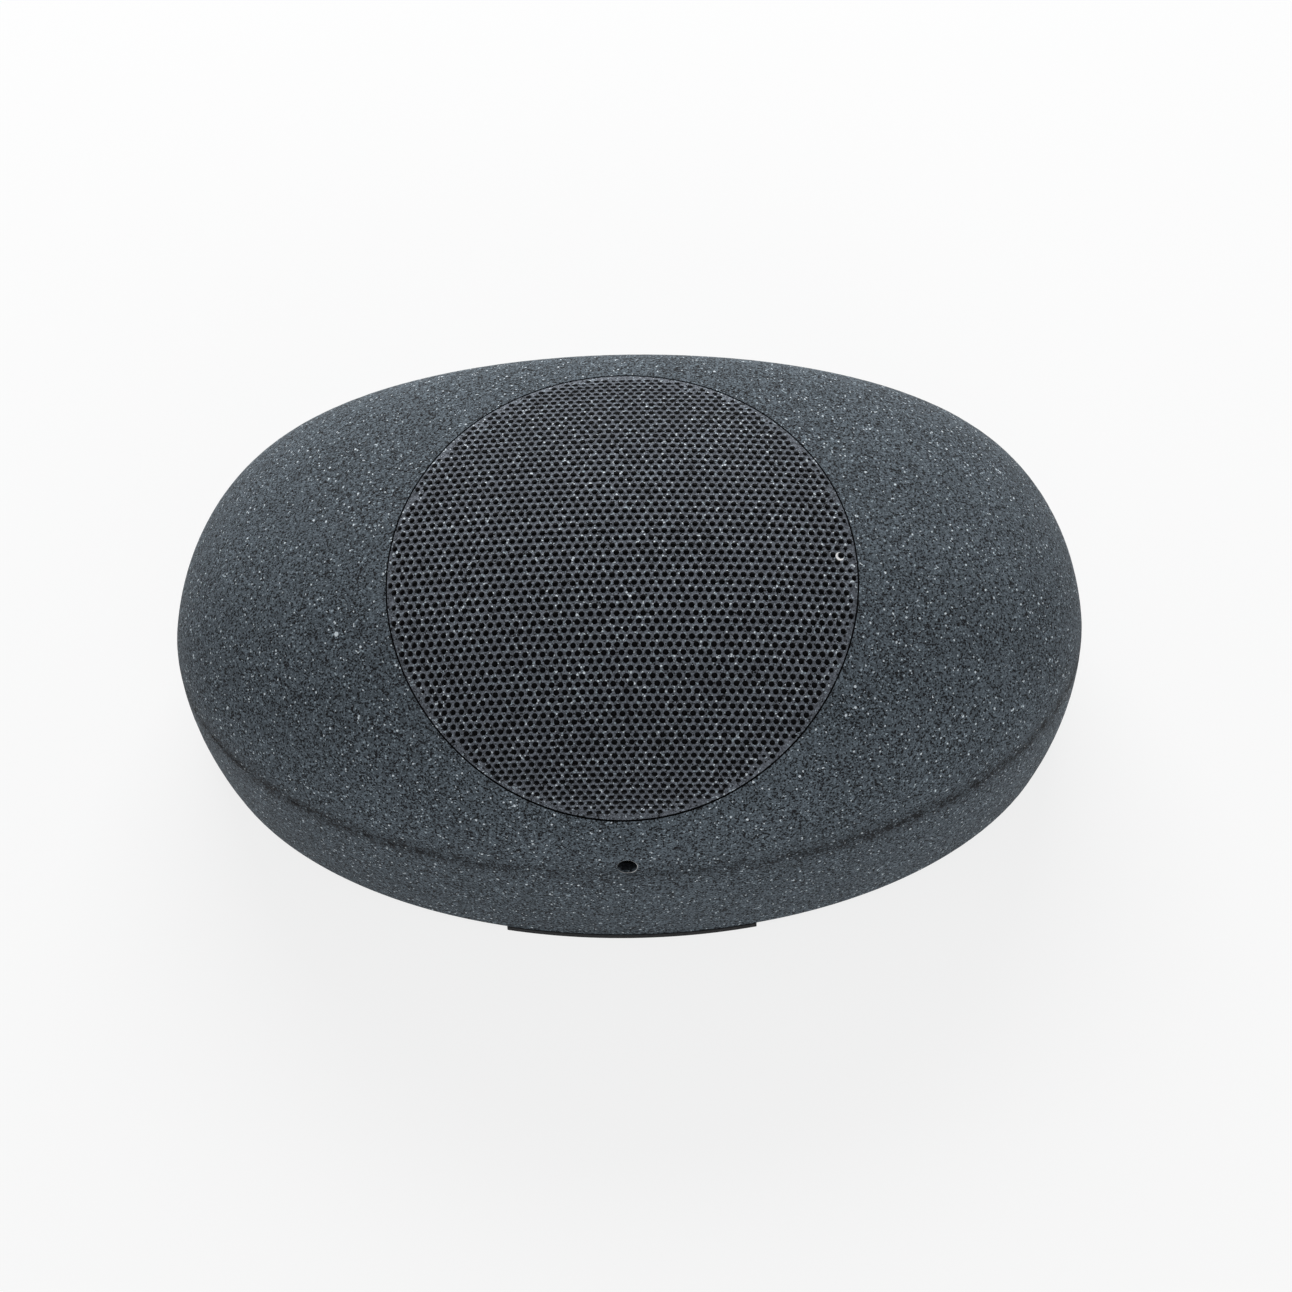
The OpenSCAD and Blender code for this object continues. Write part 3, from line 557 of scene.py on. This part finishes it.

# %% [markdown]
# Now the layers come together, from the ground up: a ground colour with slow clouds in it, dirt and
# painted shade along the joint, fine chips, coarse chips, the veil of painted shade and dirt, and the
# two spots, one of them painted shade in the weep hole. A little noise bends the cells, so that the
# chips are irregular. Grit and the fine chips also raise a bump, which makes the finish gritty and
# not printed, and the grit changes the gloss a little. The grille has its own coat: fewer black
# chips, more bright ones, and neither dirt nor painted shade.

# %% The granite coating
FINE, COARSE = 0.57, 1.15                  # size of the cells
BEND, BEND_SIZE = 0.6, 0.9                 # the cells move by 0 to 0.6 mm in each direction
CLOUD_SIZE, GRIT_SIZE = 38.0, 0.45
GREYER = 2.0                               # the grey chips are twice as light as the ground

def granite_coating(name, ground_colour, dark_share, lively=1.0, joint_dirt_and_shade=0.0):
    """dark_share is the share of black chips, lively scales the number of bright ones."""
    material, tree, shader = new_finish(name)
    place = tree.nodes.new("ShaderNodeTexCoord").outputs["Object"]
    bender = tree.nodes.new("ShaderNodeVectorMath")
    bender.operation = "MULTIPLY_ADD"
    tree.links.new(noise_at(tree, place, BEND_SIZE, 1.0).outputs["Color"], bender.inputs[0])
    bender.inputs[1].default_value = (BEND * MM, BEND * MM, BEND * MM)
    tree.links.new(place, bender.inputs[2])
    bent = bender.outputs["Vector"]
    cloud = ease_between(tree, noise_at(tree, place, CLOUD_SIZE, 3.0).outputs["Fac"], 0.35, 0.65)
    grey = [c * GREYER for c in ground_colour]
    ground = mix_colour(tree, cloud, [c * 0.90 for c in ground_colour], [c * 1.08 for c in ground_colour])
    if joint_dirt_and_shade:
        streak, veil = dirt_and_shade_along_joint(tree, place, joint_dirt_and_shade)
        # Dirt and painted shade blacken the ground along the joint.
        ground = mix_colour(tree, streak, ground, SOOT_AND_SHADE)
    ground, from_middle = add_chips(tree, ground, bent, FINE, [
        (0.0, SOOT_AND_SHADE, 0.98), (dark_share, grey, 0.0), (dark_share + 0.24, grey, 0.9), (0.88, PALE, 0.0),
        (1 - 0.035 * lively, PALE, 0.9), (1 - 0.013 * lively, WHITE, 1.0)], 0.62, 0.06)
    ground, _ = add_chips(tree, ground, bent, COARSE, [
        (0.0, SOOT_AND_SHADE, 0.98), (0.34 * dark_share, SOOT_AND_SHADE, 0.0), (1 - 0.017 * lively, PALE, 0.9),
        (1 - 0.009 * lively, WHITE, 1.0)], 0.40, 0.05)
    if joint_dirt_and_shade:
        # A veil of painted shade, with part of the dirt and shade streak, goes over the chips.
        ground = mix_colour(tree, veil, ground, SOOT_AND_SHADE)
        usual_bend = Vector((BEND / 2, BEND / 2, BEND / 2))    # how far a point is moved on average
        bright = spot_at(tree, bent, BRIGHT_CHIP + usual_bend, (0.7, 1.0), 1.0)
        ground = mix_colour(tree, bright, ground, WHITE)
        # Painted shade blackens the inside of the weep hole.
        inside = spot_at(tree, place, WEEP_HOLE_SHADE_MIDDLE, (4.6, 5.4), 0.9)
        ground = mix_colour(tree, inside, ground, SOOT_AND_SHADE)
    tree.links.new(ground, shader.inputs["Base Color"])
    grit = noise_at(tree, place, GRIT_SIZE, 2.0).outputs["Fac"]
    add_bump(tree, shader, reckon(tree, "SUBTRACT", grit, from_middle), 0.9, 0.3)
    tree.links.new(ease_between(tree, grit, NOISE_LOW, NOISE_HIGH, 0.55, 0.85), shader.inputs["Roughness"])
    shader.inputs["Specular IOR Level"].default_value = 0.15
    return material

shell_coating = granite_coating("granite_shell", [0.088, 0.108, 0.126], 0.34, joint_dirt_and_shade=0.95)
grille_coating = granite_coating("granite_grille", [0.102, 0.113, 0.132], 0.10, lively=2.3)
print("coatings made:", shell_coating.name, "and", grille_coating.name)

# %% [markdown]
# The other finishes are quieter. Cloth, rubber, nylon, plated steel, copper and paper differ in
# colour, in how rough they are and in the size of their grain, so one helper makes them from those
# numbers. Each one still varies a little in colour, roughness and height.

# %% Quiet finishes
def plain_finish(name, colour, roughness, metallic=0.0, grain_mm=1.0, grain=0.12, bump_mm=0.02, specular=0.5):
    material, tree, shader = new_finish(name)
    place = tree.nodes.new("ShaderNodeTexCoord").outputs["Object"]
    speckle = noise_at(tree, place, grain_mm, 4.0).outputs["Fac"]
    shade = ease_between(tree, speckle, NOISE_LOW, NOISE_HIGH)
    darker, lighter = [c * (1 - grain) for c in colour], [min(1, c * (1 + grain)) for c in colour]
    tree.links.new(mix_colour(tree, shade, darker, lighter), shader.inputs["Base Color"])
    smoother, rougher = roughness * 0.85, min(1, roughness * 1.15)
    tree.links.new(ease_between(tree, speckle, NOISE_LOW, NOISE_HIGH, smoother, rougher),
                   shader.inputs["Roughness"])
    add_bump(tree, shader, speckle, 0.4, bump_mm)
    shader.inputs["Metallic"].default_value = metallic
    shader.inputs["Specular IOR Level"].default_value = specular
    return material

def dress(names, material):
    for name in names:
        solids[name].data.materials.clear()
        solids[name].data.materials.append(material)
    print(material.name, "on", ", ".join(names))

# Near-black painted shade for the walls of the grille's holes.
painted_hole_shade = plain_finish("painted_hole_shade", [0.009, 0.0095, 0.011], 0.6, specular=0.3)
bare_resin = plain_finish("bare_resin", [0.55, 0.54, 0.53], 0.7, grain_mm=0.8, grain=0.35)
bare_steel = plain_finish("bare_steel", [0.93, 0.94, 0.95], 0.45, grain_mm=0.6, grain=0.1)
print("primer, bare resin and bare steel made")

# %% [markdown]
# Both shells and the joint between them share one coating, so the seam shows only by its shape and
# its dirt and painted shade. The sheet has two finishes: the coating, and a near-black painted shade
# on the walls of its holes. The solid grille and the seal are dressed as well, although their places
# are taken in this picture.

# %% Dress what shows
dress(["upper_shell", "lower_shell"], shell_coating)
dress(["grille"], grille_coating)
perforated_sheet.data.materials.append(grille_coating)
perforated_sheet.data.materials.append(painted_hole_shade)
# The walls of the holes take the painted shade.
wall_index = np.zeros(len(perforated_sheet.data.polygons), dtype=np.int32)
wall_index[len(coated_faces):] = 1
perforated_sheet.data.polygons.foreach_set("material_index", wall_index)
coated_joint.data.materials.append(shell_coating)
weep_edge.data.materials.append(bare_resin)
chipped_edge.data.materials.append(bare_steel)
dress(["grille_cloth"],
      plain_finish("acoustic_cloth", [0.004, 0.004, 0.005], 0.95, grain_mm=0.5, grain=0.4, specular=0.15))
dress(["front_foot", "rear_foot"], plain_finish("foot_rubber", [0.011, 0.011, 0.012], 0.8, specular=0.3))
dress(["gland_body", "gland_cap", "gland_nut"], plain_finish("gland_nylon", [0.018, 0.019, 0.02], 0.5))
dress(["gland_washer", "gland_bush", "seam_seal", "surround"],
      plain_finish("black_rubber", [0.012, 0.012, 0.013], 0.72, specular=0.35))

# %% [markdown]
# The driver, the transformer and the leads are shut in, but they show as soon as the model is opened
# or cut. Each gets the finish that such a part usually has: zinc-plated steel plates, a paper cone,
# an amber spider of cloth, a copper coil, a brown board for the tags, and red and blue leads.

# %% Dress what is inside
dress(["front_plate", "back_plate", "transformer_strap", "transformer_screws", "shell_screws"],
      plain_finish("plated_steel", [0.54, 0.55, 0.56], 0.34, 1.0))
dress(["driver_foam"], plain_finish("black_foam", [0.02, 0.02, 0.022], 0.95, grain_mm=0.8, grain=0.3))
dress(["driver_basket"], plain_finish("basket_paint", [0.018, 0.019, 0.021], 0.45))
dress(["driver_screws"], plain_finish("black_screw", [0.02, 0.02, 0.021], 0.4, 0.6))
dress(["cone"],
      plain_finish("paper_cone", [0.018, 0.018, 0.019], 0.85, grain_mm=2.0, grain=0.25, bump_mm=0.1))
dress(["dust_cap"], plain_finish("dust_cap_skin", [0.015, 0.015, 0.017], 0.4))
dress(["spider"], plain_finish("spider_cloth", [0.42, 0.22, 0.06], 0.9, grain_mm=0.4, grain=0.3, bump_mm=0.1))
dress(["voice_coil"], plain_finish("coil_copper", [0.56, 0.20, 0.07], 0.35, 1.0, grain_mm=0.3))
dress(["magnet_ring"], plain_finish("ferrite", [0.04, 0.042, 0.046], 0.6))
dress(["tag_strip"], plain_finish("tag_board", [0.20, 0.10, 0.04], 0.6))
dress(["transformer_core"], plain_finish("core_steel", [0.26, 0.27, 0.28], 0.5, 0.8))
dress(["transformer_coil"], plain_finish("coil_tape", [0.58, 0.40, 0.08], 0.5))
dress(["terminal_block"], plain_finish("terminal_body", [0.68, 0.64, 0.55], 0.5))
dress(["terminal_screws"], plain_finish("terminal_brass", [0.70, 0.50, 0.20], 0.35, 1.0))
dress(["driver_leads"], plain_finish("red_lead", [0.34, 0.02, 0.02], 0.5))
dress(["supply_leads"], plain_finish("blue_lead", [0.02, 0.05, 0.19], 0.5))
print("dressed", sum(1 for solid in solids.values() if solid.data.materials), "of", len(solids), "nodes")

# %% [markdown]
# The stage is a plain white floor and a white world. More light would wash out the dark coating, so
# the background gets its white another way. Rays that come straight from the camera, or by way of a
# mirror or glass, see the floor four fifths glowing white and the world fully white. The last fifth
# of the floor is ordinary paint and keeps the speaker's shadow.

# %% Floor
FLOOR_SIZE = 12.0
FLOOR_PAINT = (0.92, 0.92, 0.92, 1.0)
GLOWING_SHARE = 0.8
bpy.ops.mesh.primitive_plane_add(size=FLOOR_SIZE, location=(0, 0, 0))
floor = bpy.context.object
floor.name = "floor"
floor_finish, floor_tree, floor_shader = new_finish("floor_white")
floor_shader.inputs["Base Color"].default_value = FLOOR_PAINT
floor_shader.inputs["Roughness"].default_value = 0.9
floor_shader.inputs["Specular IOR Level"].default_value = 0.2

def seen_directly(tree):
    """1 for rays from the camera and for mirror-like or see-through rays, otherwise 0."""
    path = tree.nodes.new("ShaderNodeLightPath")
    seen = reckon(tree, "MAXIMUM", path.outputs["Is Camera Ray"], path.outputs["Is Glossy Ray"])
    return reckon(tree, "MAXIMUM", seen, path.outputs["Is Transmission Ray"])

glow = floor_tree.nodes.new("ShaderNodeEmission")
whitened = floor_tree.nodes.new("ShaderNodeMixShader")
glow_share = reckon(floor_tree, "MULTIPLY", seen_directly(floor_tree), GLOWING_SHARE)
feed(floor_tree, whitened.inputs["Fac"], glow_share)
floor_tree.links.new(floor_shader.outputs["BSDF"], whitened.inputs[1])
floor_tree.links.new(glow.outputs["Emission"], whitened.inputs[2])
floor_tree.links.new(whitened.outputs["Shader"], floor_tree.nodes["Material Output"].inputs["Surface"])
floor.data.materials.append(floor_finish)
print("floor", FLOOR_SIZE, "m wide")

# %% [markdown]
# A large soft lamp above and behind the speaker lights the crown and shoulders most, as in the
# photograph. A weak one in front opens the shadows on the nose, and the world fills the rest with a
# pale grey that leans a little to blue. Lamps of this size cast no hard shadow.

# %% Lamps and world
LAMP_AIM = Vector((0, 0, 0.05))
FILL_COLOUR, FILL_STRENGTH = (0.97, 0.985, 1.0, 1), 0.32

def soft_lamp(name, place, size, power):
    lamp = bpy.data.lights.new(name, "AREA")
    lamp.shape = "RECTANGLE"
    lamp.size, lamp.size_y = size
    lamp.energy = power
    made = bpy.data.objects.new(name, lamp)
    made.location = place
    made.rotation_mode = "QUATERNION"
    made.rotation_quaternion = (LAMP_AIM - Vector(place)).to_track_quat("-Z", "Y")
    bpy.context.scene.collection.objects.link(made)
    print(name, power, "W")

soft_lamp("rear_softbox", place=(-0.1, 1.5, 1.05), size=(1.6, 0.8), power=29)
soft_lamp("front_softbox", place=(0.4, -1.7, 0.8), size=(1.2, 0.8), power=8)
world = bpy.data.worlds.new("studio")
bpy.context.scene.world = world
world.use_nodes = True
sky = world.node_tree
fill = sky.nodes["Background"]
fill.inputs["Color"].default_value = FILL_COLOUR
fill.inputs["Strength"].default_value = FILL_STRENGTH
backdrop = sky.nodes.new("ShaderNodeBackground")
backdrop.inputs["Color"].default_value = (1, 1, 1, 1)
chosen = sky.nodes.new("ShaderNodeMixShader")
sky.links.new(seen_directly(sky), chosen.inputs["Fac"])
sky.links.new(fill.outputs["Background"], chosen.inputs[1])
sky.links.new(backdrop.outputs["Background"], chosen.inputs[2])
sky.links.new(chosen.outputs["Shader"], sky.nodes["World Output"].inputs["Surface"])
bpy.context.scene.view_settings.view_transform = "Standard"

# %% [markdown]
# The photograph looks down at the grille from about 54 degrees with a long lens from 1.5 m away. The
# camera was found by fitting the pebble's outline, its seam and the rows of holes, so it is written
# here as a place and two directions. A long lens keeps the rim and the rear wall nearly parallel.
# The small shift puts the speaker where it stands in the frame.

# %% Camera
LENS, SENSOR = 115.48, 36.0
SHIFT_X, SHIFT_Y = 0.0136, -0.0127
CAMERA_PLACE = Vector((41.02, -881.23, 1230.41))           # millimetres about the seam
CAMERA_FORWARD = Vector((-0.0271, 0.5821, -0.8127))
CAMERA_UP = Vector((0.0161, 0.8131, 0.5818))
camera_data = bpy.data.cameras.new("camera")
camera = bpy.data.objects.new("camera", camera_data)
bpy.context.scene.collection.objects.link(camera)
camera_data.sensor_width = SENSOR
camera_data.lens = LENS
forward = CAMERA_FORWARD.normalized()
right = forward.cross(CAMERA_UP).normalized()
upward = right.cross(forward)
stand = (CAMERA_PLACE + SEAM_LINE) * MM
camera.matrix_world = Matrix((
    (right.x, upward.x, -forward.x, stand.x),
    (right.y, upward.y, -forward.y, stand.y),
    (right.z, upward.z, -forward.z, stand.z),
    (0, 0, 0, 1)))
camera_data.shift_x, camera_data.shift_y = SHIFT_X, SHIFT_Y
camera_data.clip_start, camera_data.clip_end = 0.05, 20
bpy.context.scene.camera = camera
print("camera", [round(c, 3) for c in stand], "m")
